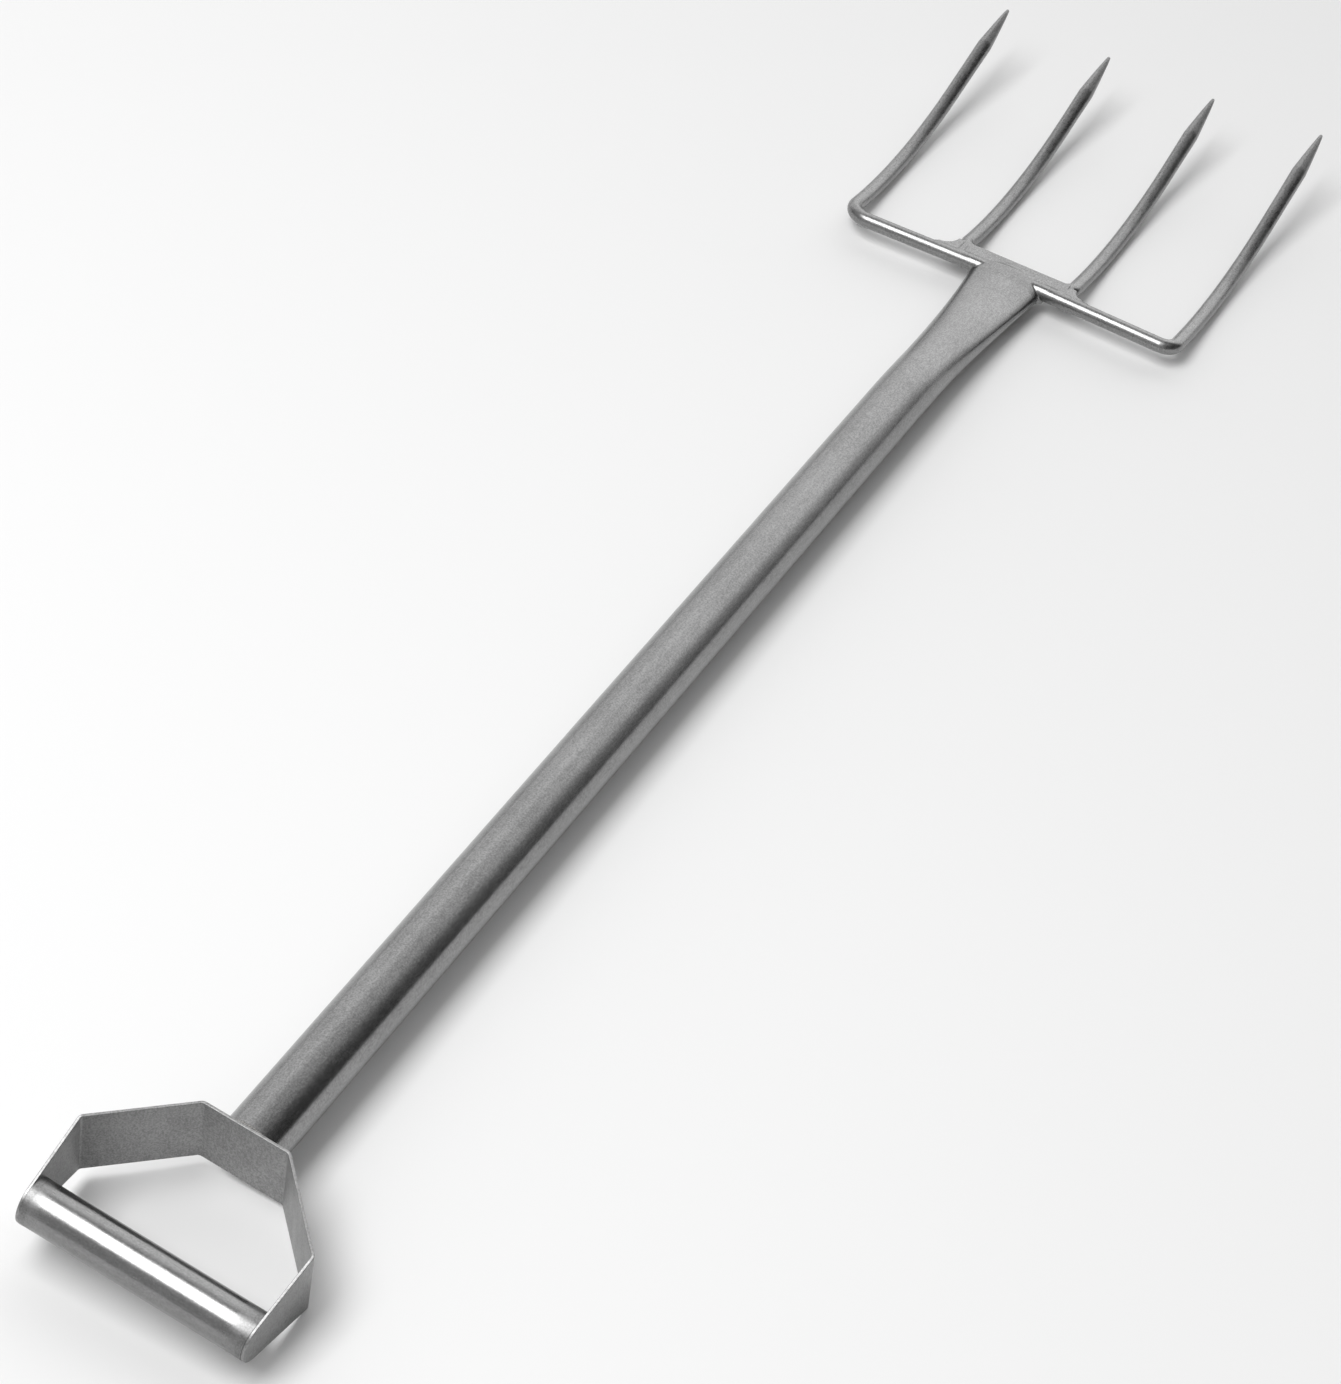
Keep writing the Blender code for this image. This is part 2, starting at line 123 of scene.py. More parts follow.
def linear(hex_colour):
    """An sRGB hex colour as the linear colour that a shader takes."""
    values = [int(hex_colour[i : i + 2], 16) / 255 for i in (1, 3, 5)]
    return [v / 12.92 if v <= 0.04045 else ((v + 0.055) / 1.055) ** 2.4 for v in values] + [1.0]


def socket_of(node, name):
    """An input by its name, with _ for a space, or by its number, as n0, n1 and so on."""
    if name[0] == "n" and name[1:].isdigit():
        return node.inputs[int(name[1:])]
    return node.inputs[name.replace("_", " ")]


def add(tree, kind, settings=None, **links):
    """A node with its settings (attributes or input values) and its links (input name to output)."""
    node = tree.nodes.new(kind)
    for name, value in (settings or {}).items():
        if hasattr(node, name):
            setattr(node, name, value)
        else:
            node.inputs[name].default_value = value
    for name, source in links.items():
        tree.links.new(source, socket_of(node, name))
    return node


def ramp(tree, factor, low, high, low_value, high_value):
    """The factor, stretched from low..high to low_value..high_value and held there beyond."""
    node = add(tree, "ShaderNodeMapRange", {"interpolation_type": "SMOOTHSTEP"}, Value=factor)
    ends = {"From Min": low, "From Max": high, "To Min": low_value, "To Max": high_value}
    for name, value in ends.items():
        node.inputs[name].default_value = value
    return node.outputs["Result"]


# Broad patterns that every steel here shares: faint clouds in its tone and smears in its gloss.
CLOUD_MM = 26.0
SMEAR_MM = 9.0
CLOUD_SHARE = 0.18
MARK_SHARE = 0.45
# Noise keeps near its middle, so a pattern uses up its range between these two values.
TONE_ENDS = (0.34, 0.66)
GLOSS_ENDS = (0.32, 0.68)


def stainless(name, dark, light, roughness, spread, grain_mm, stretch, scratch_mm, speckle):
    """Bare stainless steel, ground or drawn.

    dark and light are the two ends of its tone, roughness and spread its gloss and how much it varies,
    grain_mm the width of its abrasive grain, stretch how long the marks run along X, Y and Z, scratch_mm
    their depth, and speckle the share of round grit in them. Real grit leaves marks about 0.1 mm wide,
    which would not show, so the grain is drawn at about 1 mm.
    """
    material = bpy.data.materials.new(name)
    material.use_nodes = True
    tree = material.node_tree
    shader = tree.nodes["Principled BSDF"]
    shader.inputs["Metallic"].default_value = 1.0
    place = add(tree, "ShaderNodeTexCoord").outputs["Object"]

    def pattern(size_mm, squash, detail):
        scale = [1 / s for s in squash]
        mapped = add(tree, "ShaderNodeMapping", {"Scale": scale}, Vector=place).outputs["Vector"]
        settings = {"Scale": 1000 / size_mm, "Detail": detail, "Roughness": 0.6}
        return add(tree, "ShaderNodeTexNoise", settings, Vector=mapped).outputs["Fac"]

    marks = pattern(grain_mm, stretch, 3.0)
    grit = pattern(grain_mm * 0.9, (1, 1, 1), 2.0)
    clouds = pattern(CLOUD_MM, (1, 1, 1), 4.0)
    smears = pattern(SMEAR_MM, [s**0.6 for s in stretch], 3.0)

    mixed = add(tree, "ShaderNodeMix", {"Factor": speckle}, A=marks, B=grit).outputs["Result"]
    tone = add(tree, "ShaderNodeMix", {"Factor": CLOUD_SHARE}, A=mixed, B=clouds).outputs["Result"]
    colour = add(tree, "ShaderNodeMix", {"data_type": "RGBA"})
    colour.inputs["A"].default_value = linear(dark)
    colour.inputs["B"].default_value = linear(light)
    tree.links.new(ramp(tree, tone, *TONE_ENDS, 0.0, 1.0), colour.inputs["Factor"])
    tree.links.new(colour.outputs[2], shader.inputs["Base Color"])

    gloss = add(tree, "ShaderNodeMix", {"Factor": MARK_SHARE}, A=smears, B=marks).outputs["Result"]
    rough = ramp(tree, gloss, *GLOSS_ENDS, roughness - spread, roughness + spread)
    tree.links.new(rough, shader.inputs["Roughness"])

    bump = add(tree, "ShaderNodeBump", {"Strength": 1.0, "Distance": scratch_mm * MM}, Height=mixed)
    tree.links.new(bump.outputs["Normal"], shader.inputs["Normal"])
    return material


def matte_ends(material, start, end, extra):
    """Makes the steel rougher, bit by bit, between these two distances from X = 0."""
    tree = material.node_tree
    socket = tree.nodes["Principled BSDF"].inputs["Roughness"]
    place = add(tree, "ShaderNodeTexCoord").outputs["Object"]
    x = add(tree, "ShaderNodeSeparateXYZ", n0=place).outputs[0]
    away = add(tree, "ShaderNodeMath", {"operation": "ABSOLUTE"}, n0=x).outputs[0]
    more = ramp(tree, away, start, end, 0.0, extra)
    total = add(tree, "ShaderNodeMath", {"operation": "ADD"}, n0=socket.links[0].from_socket, n1=more)
    tree.links.new(total.outputs[0], socket)


# Folded strip, belt-ground and left matte: an even grey with a fine grit, and no clear reflection.
STRIP_STEEL = stainless("ground_strip_steel", "#7E7E7E", "#A4A4A4", 0.42, 0.06, 1.1, (1, 1, 3), 0.026, 0.6)
# Drawn tube, polished lengthwise: an even surface, with a clear soft-edged highlight.
GRIP_STEEL = stainless(
    "satin_grip_tube_steel", "#7F7F7F", "#939393", 0.24, 0.04, 1.1, (6, 1, 1), 0.005, 0.6
)
# The hand dressing of its end seams spills onto the tube and dulls it there.
matte_ends(GRIP_STEEL, LEG_END_X - 13.9 * MM, LEG_END_X - 4.9 * MM, 0.18)
# Shaft tube, satin finished lengthwise: it mirrors the room as soft bands under a fine grain.
SHAFT_STEEL = stainless(
    "satin_shaft_tube_steel", "#7A7A7A", "#999999", 0.22, 0.03, 1.1, (1, 4, 1), 0.004, 0.65
)
# Round rod, satin, a little duller than the shaft: a soft bright line, with grain along the tines.
ROD_STEEL = stainless("satin_rod_steel", "#7A7A7A", "#9A9A9A", 0.30, 0.05, 1.1, (1, 4, 1), 0.010, 0.6)
# Weld metal dressed to the shaft's own finish, so that the joint reads as one smooth skin.
WELD_STEEL = stainless("dressed_weld_steel", "#7A7A7A", "#999999", 0.25, 0.04, 1.1, (1, 2, 1), 0.006, 0.65)
# The grip's end seams, dressed by hand: matte, so that the highlight dies out before the legs.
SEAM_STEEL = stainless("dressed_seam_steel", "#727272", "#909090", 0.42, 0.05, 1.1, (1, 1, 1), 0.012, 0.6)
# Weld bead left as it froze: a slightly warm ripple.
BEAD_STEEL = stainless("bare_weld_bead_steel", "#7A7978", "#93918E", 0.33, 0.08, 1.6, (1, 1, 1), 0.030, 0.5)


# Shared mesh work.


def object_of(name, mesh, material, smooth_angle=35.0):
    """A finished piece at the origin, smooth except at edges sharper than smooth_angle."""
    mesh.materials.clear()
    mesh.materials.append(material)
    mesh.shade_smooth()
    mesh.set_sharp_from_angle(angle=math.radians(smooth_angle))
    obj = bpy.data.objects.new(name, mesh)
    bpy.context.scene.collection.objects.link(obj)
    return obj


def mesh_of(bm, name, place):
    """The bmesh as a mesh, taken from the shaft's frame to its place on the floor."""
    bmesh.ops.recalc_face_normals(bm, faces=bm.faces)
    bm.transform(place)
    mesh = bpy.data.meshes.new(name)
    bm.to_mesh(mesh)
    bm.free()
    return mesh


def made(obj):
    """The object's evaluated mesh, after which the object is gone."""
    bpy.context.view_layer.update()
    graph = bpy.context.evaluated_depsgraph_get()
    mesh = bpy.data.meshes.new_from_object(obj.evaluated_get(graph))
    bpy.data.objects.remove(obj, do_unlink=True)
    return mesh


def lofted(bm, rings):
    """Closed rings of equal length joined one to the next, with the first and last filled."""
    rows = [[bm.verts.new(point) for point in ring] for ring in rings]
    count = len(rows[0])
    for a, b in zip(rows, rows[1:]):
        for k in range(count):
            bm.faces.new((a[k], a[(k + 1) % count], b[(k + 1) % count], b[k]))
    bm.faces.new(rows[0])
    bm.faces.new(rows[-1])


def declare(obj, slot, *nodes):
    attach(obj, "root")
    if nodes:
        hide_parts(*nodes)


def ease(t):
    t = min(max(t, 0.0), 1.0)
    return t * t * (3 - 2 * t)


# The D grip: a folded strip, a tube between its legs and a dressed seam at each end.


def refined(node, name, material, smooth_angle):
    """A node's shape with its loose triangles joined, so that its folds and broken edges shade smoothly."""
    bm = bmesh.new()
    bm.from_mesh(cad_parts[node].data)
    bmesh.ops.remove_doubles(bm, verts=bm.verts, dist=0.001 * MM)
    mesh = bpy.data.meshes.new(name)
    bm.to_mesh(mesh)
    bm.free()
    obj = object_of(name, mesh, material, smooth_angle)
    weight = obj.modifiers.new("flat faces stay flat", "WEIGHTED_NORMAL")
    weight.keep_sharp = True
    mesh = made(obj)
    mesh.name = name
    obj = bpy.data.objects.new(name, mesh)
    bpy.context.scene.collection.objects.link(obj)
    return obj


def mitred(point):
    """Slants the end of a piece along X to match the lean of the legs."""
    slope = (LEG_BEND[0] - LEG_END_X) / LEG_BEND[1]
    point.x += math.copysign(slope, point.x) * point.y
    return point


def ring_across(x, radius, count=128):
    angles = [math.tau * k / count for k in range(count)]
    return [Vector((x, radius * math.cos(a), radius * math.sin(a))) for a in angles]


def make_grip_tube():
    half = LEG_END_X - STRIP_THICK / 2 - 1.0 * MM
    bm = bmesh.new()
    steps = 12
    stations = [-half + 2 * half * k / steps for k in range(steps + 1)]
    lofted(bm, [[mitred(p) for p in ring_across(x, GRIP_R)] for x in stations])
    return object_of("grip_tube_satin", mesh_of(bm, "grip_tube_satin", GRIP_DOWN), GRIP_STEEL)


def make_grip_seam(name, side):
    """The seam where the tube meets a leg: filled, dressed nearly flush, and a little uneven."""
    outer = LEG_END_X - STRIP_THICK / 2 + 0.05 * MM
    width = 5.0 * MM
    crown = 0.10 * MM
    sink = 0.05 * MM
    wave = 0.6 * MM
    broad_waves = 260.0
    fine_waves = 700.0
    steps = 10
    rings = []
    for k in range(steps + 1):
        t = k / steps
        ring = ring_across(side * (outer - width * t), GRIP_R)
        for point in ring:
            wander = noise.noise(point * broad_waves) * 0.9 + noise.noise(point * fine_waves) * 0.35
            rise = crown * math.sin(math.pi * (0.5 + t / 2)) * (1 + 0.35 * wander) - sink * t
            point.x += side * wander * wave * t
            spread = (GRIP_R + rise) / GRIP_R
            point.y *= spread
            point.z *= spread
        rings.append([mitred(p) for p in ring])
    bm = bmesh.new()
    lofted(bm, rings)
    return object_of(name, mesh_of(bm, name, GRIP_DOWN), SEAM_STEEL, 60.0)


# Geometry Nodes: a rod of varying radius along a line, and a row of frozen weld ripples.


def new_tree(name, sockets):
    """A geometry tree with the given named inputs: name to (socket type, default)."""
    tree = bpy.data.node_groups.new(name, "GeometryNodeTree")
    tree.interface.new_socket("Geometry", in_out="INPUT", socket_type="NodeSocketGeometry")
    for label, (kind, default) in sockets.items():
        socket = tree.interface.new_socket(label, in_out="INPUT", socket_type=kind)
        if default is not None:
            socket.default_value = default
    tree.interface.new_socket("Geometry", in_out="OUTPUT", socket_type="NodeSocketGeometry")
    return tree, tree.nodes.new("NodeGroupInput").outputs


def end_tree(tree, geometry, material):
    """Realizes the instances, sets the material and ends the tree."""
    real = add(tree, "GeometryNodeRealizeInstances", Geometry=geometry).outputs["Geometry"]
    set_material = add(tree, "GeometryNodeSetMaterial", Geometry=real, Material=material)
    add(tree, "NodeGroupOutput", Geometry=set_material.outputs["Geometry"])


def make_rod_tree():
    sockets = {
        "Diameter": ("NodeSocketFloat", 2 * ROD),
        "Sides": ("NodeSocketInt", 48),
        "Steel": ("NodeSocketMaterial", None),
    }
    tree, inputs = new_tree("drawn_rod", sockets)
    radius = add(tree, "ShaderNodeMath", {"operation": "MULTIPLY"}, n0=inputs["Diameter"])
    radius.inputs[1].default_value = 0.5
    profile = add(
        tree, "GeometryNodeCurvePrimitiveCircle", Resolution=inputs["Sides"], Radius=radius.outputs[0]
    )
    share = add(tree, "GeometryNodeInputNamedAttribute", {"Name": "radius"}).outputs["Attribute"]
    sweep = add(
        tree,
        "GeometryNodeCurveToMesh",
        {"Fill Caps": True},
        Curve=inputs["Geometry"],
        Profile_Curve=profile.outputs["Curve"],
        Scale=share,
    )
    end_tree(tree, sweep.outputs["Mesh"], inputs["Steel"])
    return tree


def make_bead_tree():
    """Ripples of a weld bead: overlapping flattened drops along a line, each a little different."""
    sockets = {
        "Spacing": ("NodeSocketFloat", 1.1 * MM),
        "Drop Size": ("NodeSocketFloat", 2.0 * MM),
        "Unevenness": ("NodeSocketFloat", 0.12),
        "Seed": ("NodeSocketInt", 3),
        "Steel": ("NodeSocketMaterial", None),
    }
    tree, inputs = new_tree("weld_bead", sockets)
    points = add(
        tree,
        "GeometryNodeCurveToPoints",
        {"mode": "LENGTH"},
        Curve=inputs["Geometry"],
        Length=inputs["Spacing"],
    )
    drop = add(tree, "GeometryNodeMeshUVSphere", {"Segments": 16, "Rings": 10, "Radius": 1.0})
    flat = add(tree, "GeometryNodeTransform", {"Scale": (1.0, 1.0, 0.62)}, Geometry=drop.outputs["Mesh"])
    vary = add(tree, "FunctionNodeRandomValue", {"data_type": "FLOAT"}, Seed=inputs["Seed"])
    low = add(tree, "ShaderNodeMath", {"operation": "SUBTRACT"}, n1=inputs["Unevenness"])
    low.inputs[0].default_value = 1.0
    high = add(tree, "ShaderNodeMath", {"operation": "ADD"}, n1=inputs["Unevenness"])
    high.inputs[0].default_value = 1.0
    tree.links.new(low.outputs[0], vary.inputs[2])
    tree.links.new(high.outputs[0], vary.inputs[3])
    size = add(
        tree, "ShaderNodeMath", {"operation": "MULTIPLY"}, n0=vary.outputs[1], n1=inputs["Drop Size"]
    )
    row = add(
        tree,
        "GeometryNodeInstanceOnPoints",
        Points=points.outputs["Points"],
        Instance=flat.outputs["Geometry"],
        Rotation=points.outputs["Rotation"],
        Scale=size.outputs[0],
    )
    end_tree(tree, row.outputs["Instances"], inputs["Steel"])
    return tree


def along(name, tree, points, radii, values, place, cyclic=False):
    """The tree's result along the points, as a mesh in place."""
    curve = bpy.data.curves.new(name, "CURVE")
    curve.dimensions = "3D"
    curve.twist_mode = "MINIMUM"
    spline = curve.splines.new("POLY")
    spline.points.add(len(points) - 1)
    for target, point, radius in zip(spline.points, points, radii):
        target.co = (*point, 1.0)
        target.radius = radius
    spline.use_cyclic_u = cyclic
    obj = bpy.data.objects.new(name, curve)
    bpy.context.scene.collection.objects.link(obj)
    modifier = obj.modifiers.new("shape", "NODES")
    modifier.node_group = tree
    for item in tree.interface.items_tree:
        if item.in_out == "INPUT" and item.name in values:
            modifier[item.identifier] = values[item.name]
    mesh = made(obj)
    bm = bmesh.new()
    bm.from_mesh(mesh)
    bmesh.ops.remove_doubles(bm, verts=bm.verts, dist=0.0005 * MM)
    bpy.data.meshes.remove(mesh)
    return mesh_of(bm, name, place)


# The head's two rods.


def rounded_corner(before, corner, after, radius, steps):
    """The arc of the given radius that rounds a corner."""
    back = (before - corner).normalized()
    ahead = (after - corner).normalized()
    half = back.angle(ahead) / 2
    centre = corner + (back + ahead).normalized() * (radius / math.sin(half))
    start = corner + back * (radius / math.tan(half)) - centre
    end = corner + ahead * (radius / math.tan(half)) - centre
    turn = start.angle(end)
    points = []
    for k in range(steps + 1):
        t = k / steps
        share = (math.sin((1 - t) * turn) / math.sin(turn), math.sin(t * turn) / math.sin(turn))
        points.append(centre + start * share[0] + end * share[1])
    return points


def tine_height(run):
    """How far a tine has risen at this distance from its crossbar: an arc, then a straight."""
    arc_run = TINE_RADIUS * (math.sin(TINE_END_SLOPE) - math.sin(TINE_ROOT_SLOPE))
    slope = math.asin(math.sin(TINE_ROOT_SLOPE) + min(run, arc_run) / TINE_RADIUS)
    rise = TINE_RADIUS * (math.cos(TINE_ROOT_SLOPE) - math.cos(slope))
    return rise + max(run - arc_run, 0.0) * math.tan(TINE_END_SLOPE)


def point_radius(distance):
    """The rod's radius, as a share of its own, at a distance back from the tip."""
    if distance >= POINT_LENGTH:
        return 1 + (SWELL - 1) * ease(1 - (distance - POINT_LENGTH) / SWELL_LENGTH)
    low = TIP_RADIUS / ROD
    t = max(distance, 0.0) / POINT_LENGTH
    cone = low + (SWELL - low) * t**0.82
    if distance < TIP_RADIUS:
        cone *= math.sqrt(max(1 - (1 - distance / TIP_RADIUS) ** 2, 0.004))
    return cone


def half_rod(half, y, z, bow, bend_radius):
    """The centre line of a U's right half: half of its crossbar, a bend and a tine."""
    root = y - bow
    first = root + bend_radius * 1.5
    shaped = TIP_Y - POINT_LENGTH - SWELL_LENGTH
    rounding = TIP_Y - TIP_RADIUS
    plain_steps = 60
    point_steps = 50
    tip_steps = 8
    ys = [first + (shaped - first) * k / plain_steps for k in range(plain_steps)]
    ys += [shaped + (rounding - shaped) * k / point_steps for k in range(point_steps)]
    ys += [rounding + TIP_RADIUS * math.sin(math.pi / 2 * k / tip_steps) for k in range(tip_steps + 1)]
    tine = [Vector((half, py, z + tine_height(py - root))) for py in ys]
    # The crossbar's bow follows a parabola, so this share of the way out it has the share's square.
    share = 0.4
    inward = Vector((half * share, y - bow * share**2, z))
    bend = rounded_corner(inward, Vector((half, root, z)), tine[0], bend_radius, 20)
    return [Vector((half * 0.1, y, z))] + bend[:-1] + tine


def u_line(half, y, z, bow, bends):
    left = [Vector((-p.x, p.y, p.z)) for p in half_rod(half, y, z, bow, bends[0])]
    return left[::-1] + half_rod(half, y, z, bow, bends[1])


OUTER_LINE = u_line(OUTER_HALF, CROSSBAR_Y, CROSSBAR_Z, CROSSBAR_BOW, OUTER_BENDS)
INNER_LINE = u_line(INNER_HALF, INNER_Y, INNER_Z, 0.0, INNER_BENDS)


def make_rod(name, line, tree):
    radii = [point_radius(TIP_Y - p.y) for p in line]
    values = {"Diameter": 2 * ROD, "Sides": 64, "Steel": ROD_STEEL}
    return object_of(name, along(name, tree, line, radii, values, SET_DOWN), ROD_STEEL)


# The shaft.


def shaft_ring(y, grow, count=144):
    """The shaft's section at y: round, then a flattened and flared oval near the head."""
    flat = ease((y - (CROSSBAR_Y - ROD - FLATTEN_RUN)) / FLATTEN_RUN)
    flare = min(max((y - (CROSSBAR_Y - ROD - FLARE_RUN)) / FLARE_RUN, 0.0), 1.0) ** 1.5
    width = SHAFT_R + (FLAT_HALF_WIDTH - SHAFT_R) * flare + grow
    height = SHAFT_R + (FLAT_HALF_HEIGHT - SHAFT_R) * flat + grow
    # An ellipse has power 2: the flattened end is a shade squarer.
    power = 2.0 + 0.1 * flat
    ring = []
    for k in range(count):
        c = math.cos(math.tau * k / count)
        s = math.sin(math.tau * k / count)
        x = width * math.copysign(abs(c) ** (2 / power), c)
        z = height * math.copysign(abs(s) ** (2 / power), s) + FLAT_Z * flat
        ring.append(Vector((x, y, z)))
    return ring


def coped(point, start):
    """Pulls the lower half of the shaft's end back, so that it stops behind the crossbar."""
    cut_back = SHAFT_LAP + ROD * 0.6
    under = ease((CROSSBAR_Z + ROD * 0.5 - point.z) / ROD)
    share = min(max((point.y - start) / (CROSSBAR_Y + SHAFT_LAP - start), 0.0), 1.0)
    point.y -= cut_back * under * share**4
    return point


def shaft_rings(growth):
    """The shaft's sections from the strip to its rounded end, each grown by growth(y)."""
    foot = STRIP_TOP_Y + STRIP_THICK / 2
    start = CROSSBAR_Y - ROD - FLATTEN_RUN
    end = CROSSBAR_Y + SHAFT_LAP
    lip = 2.4 * MM
    round_steps = 40
    flat_steps = 70
    lip_steps = 8
    ys = [foot + (start - foot) * k / round_steps for k in range(round_steps)]
    ys += [start + (end - lip - start) * k / flat_steps for k in range(flat_steps + 1)]
    rings = [shaft_ring(y, growth(y)) for y in ys]
    for k in range(1, lip_steps + 1):
        a = math.pi / 2 * k / lip_steps
        rings.append(shaft_ring(end - lip + lip * math.sin(a), growth(end) - lip * (1 - math.cos(a))))
    return [[coped(p, start) for p in ring] for ring in rings]


def make_shaft():
    bm = bmesh.new()
    lofted(bm, shaft_rings(lambda y: 0.0))
    return object_of("shaft_tube", mesh_of(bm, "shaft_tube", SET_DOWN), SHAFT_STEEL)


# The dressed weld of the head. Stubs of the rods and of the shaft's end, with weld metal between them,
# are melted into one skin and smoothed. The skin covers the joint, a little proud of the stock, and its
# ends dive into the stock, so that no edge shows.

SKIN_GRAIN = 0.42 * MM
SKIN_SMOOTHING = 13
# How far the skin stands out of the stock where it covers it, and how deep its ends dive into it.
SKIN_PROUD = 0.26 * MM
SKIN_SUNK = -0.30 * MM
BAR_TOP = CROSSBAR_Z + ROD
# The webs fall this much for each unit of their way out along the tine.
WEB_FALL = 0.10


def block(bm, low, high):
    """A box between two opposite corners."""
    made_block = bmesh.ops.create_cube(bm, size=1.0)["verts"]
    size = Vector(high) - Vector(low)
    for vertex in made_block:
        vertex.co = Vector(low) + Vector([size[i] * (vertex.co[i] + 0.5) for i in range(3)])


def stub(bm, line, away, reach, tree):
    """The stretch of a rod up to reach, a little proud of the rod at first and sunk into it at the end."""
    points = [p for p in line if away(p) < reach]
    fades = [ease(away(p) / reach * 1.6 - 0.6) for p in points]
    radii = [1 + (SKIN_PROUD + (SKIN_SUNK - SKIN_PROUD) * fade) / ROD for fade in fades]
    values = {"Diameter": 2 * ROD, "Sides": 40, "Steel": WELD_STEEL}
    mesh = along("stub", tree, points, radii, values, Matrix.Identity(4))
    bm.from_mesh(mesh)
    bpy.data.meshes.remove(mesh)


def prism(bm, plan, floor, levels):
    """A block with the given outline, level below and with its own height above each corner."""
    low = [Vector((p.x, p.y, floor)) for p in plan]
    high = [Vector((p.x, p.y, level)) for p, level in zip(plan, levels)]
    lofted(bm, [low, high])


def fillet_plan(corner, open_side, radius, depth):
    """The outline that fills a corner with a concave arc. open_side points away from both walls."""
    plan = []
    steps = 8
    for k in range(steps + 1):
        angle = math.pi / 2 * k / steps
        arc = Vector((1 - math.sin(angle), 1 - math.cos(angle))) * radius
        plan.append(corner + arc * open_side)
    back = -open_side * depth
    plan.append(Vector((corner.x + back.x, plan[-1].y)))
    plan.append(corner + back)
    plan.append(Vector((plan[0].x, corner.y + back.y)))
    return plan


def web(bm, side, radius):
    """The web of weld metal outside an inner tine's root, sloping down with the tine."""
    corner = Vector((INNER_HALF + ROD * 0.90, CROSSBAR_Y + ROD * 0.90))
    plan = fillet_plan(corner, Vector((1, 1)), radius, 5.0 * MM)
    levels = [BAR_TOP - 0.7 * MM - WEB_FALL * (p.y - CROSSBAR_Y) for p in plan]
    prism(bm, [Vector((side * p.x, p.y)) for p in plan], INNER_Z - 4.0 * MM, levels)


def groove_fill(bm):
    """The groove between the two bars, filled to just under their tops and ground flat."""
    half = INNER_HALF - 1.0 * MM
    near = CROSSBAR_Y + 1.6 * MM
    far = INNER_Y + 2.4 * MM
    block(bm, (-half, near, INNER_Z - 2.0 * MM), (half, far, BAR_TOP - 0.45 * MM))
    half -= 4.0 * MM
    block(bm, (-half, near + 0.4 * MM, INNER_Z - ROD + 0.8 * MM), (half, INNER_Y - 2.0 * MM, 0.0))


def shaft_end(bm):
    """The last stretch of the shaft, sunk into it at first and a little proud of it at its end."""
    reach = 20.0 * MM

    def growth(y):
        return SKIN_SUNK + (SKIN_PROUD - SKIN_SUNK) * ease((y - CROSSBAR_Y + reach) / reach)

    # The point a quarter of the way round is the crown, which the cope leaves where it is.
    lofted(bm, [ring for ring in shaft_rings(growth) if ring[len(ring) // 4].y > CROSSBAR_Y - reach])


def toe(bm):
    """The run of weld metal from the shaft's end down to the bars, steeper on the left."""
    base = -9.0 * MM
    left = -FLAT_HALF_WIDTH + 1.6 * MM
    right = FLAT_HALF_WIDTH + 3.0 * MM
    back = CROSSBAR_Y + 1.0 * MM
    steps = 32
    sections = []
    for k in range(steps + 1):
        t = k / steps
        x = left + (right - left) * t
        fade = math.sqrt(max(0.0, 1 - (x / FLAT_HALF_WIDTH) ** 2))
        least = BAR_TOP - (1.6 if x < 0 else 0.5) * MM
        crest = max(least, FLAT_Z + FLAT_HALF_HEIGHT * fade + SKIN_PROUD)
        front = CROSSBAR_Y + SHAFT_LAP + 3.6 * MM * fade
        drop = (2.3 - 1.3 * t) * MM * fade
        outline = ((back, base), (back, crest), (front, crest - drop), (front + 2.6 * MM, base))
        sections.append([Vector((x, y, z)) for y, z in outline])
    lofted(bm, sections)


def side_fillet(bm, side):
    """The fillet between a side of the flattened end and the front of the crossbar."""
    corner = Vector((FLAT_HALF_WIDTH - 0.8 * MM, CROSSBAR_Y - ROD * 0.9))
    plan = fillet_plan(corner, Vector((1, -1)), 3.6 * MM, 4.0 * MM)
    levels = [FLAT_Z + 1.0 * MM] * len(plan)
    prism(bm, [Vector((side * p.x, p.y)) for p in plan], FLAT_Z - 4.0 * MM, levels)


def make_head_weld(tree):
    bm = bmesh.new()
    bar = [Vector((x * MM, CROSSBAR_Y, CROSSBAR_Z)) for x in range(-58, 59, 2)]
    stub(bm, bar, lambda p: abs(p.x), 56.0 * MM, tree)
    stub(bm, INNER_LINE, lambda p: p.y - INNER_Y + 12.0 * MM, 32.0 * MM, tree)
    groove_fill(bm)
    # The left web is the broader one, as the left bend is.
    web(bm, -1, 10.0 * MM)
    web(bm, 1, 7.0 * MM)
    shaft_end(bm)
    toe(bm)
    side_fillet(bm, -1)
    side_fillet(bm, 1)
    mesh = bpy.data.meshes.new("head_weld")
    bmesh.ops.recalc_face_normals(bm, faces=bm.faces)
    bm.to_mesh(mesh)
    bm.free()
    obj = bpy.data.objects.new("head_weld", mesh)
    bpy.context.scene.collection.objects.link(obj)
    melt = obj.modifiers.new("melt", "REMESH")
    melt.mode = "VOXEL"
    melt.voxel_size = SKIN_GRAIN
    smooth = obj.modifiers.new("dress", "SMOOTH")
    smooth.factor = 0.5
    smooth.iterations = SKIN_SMOOTHING
    mesh = made(obj)
    mesh.transform(SET_DOWN)
    return object_of("head_weld_dressed", mesh, WELD_STEEL, 80.0)


# Weld beads left as they froze, out of sight from above.


def bead(name, tree, points, spacing, size, unevenness, seed, cyclic=False):
    values = {
        "Spacing": spacing * MM,
        "Drop Size": size * MM,
        "Unevenness": unevenness,
        "Seed": seed,
        "Steel": BEAD_STEEL,
    }
    mesh = along(name, tree, points, [1.0] * len(points), values, SET_DOWN, cyclic)
    return object_of(name, mesh, BEAD_STEEL, 60.0)


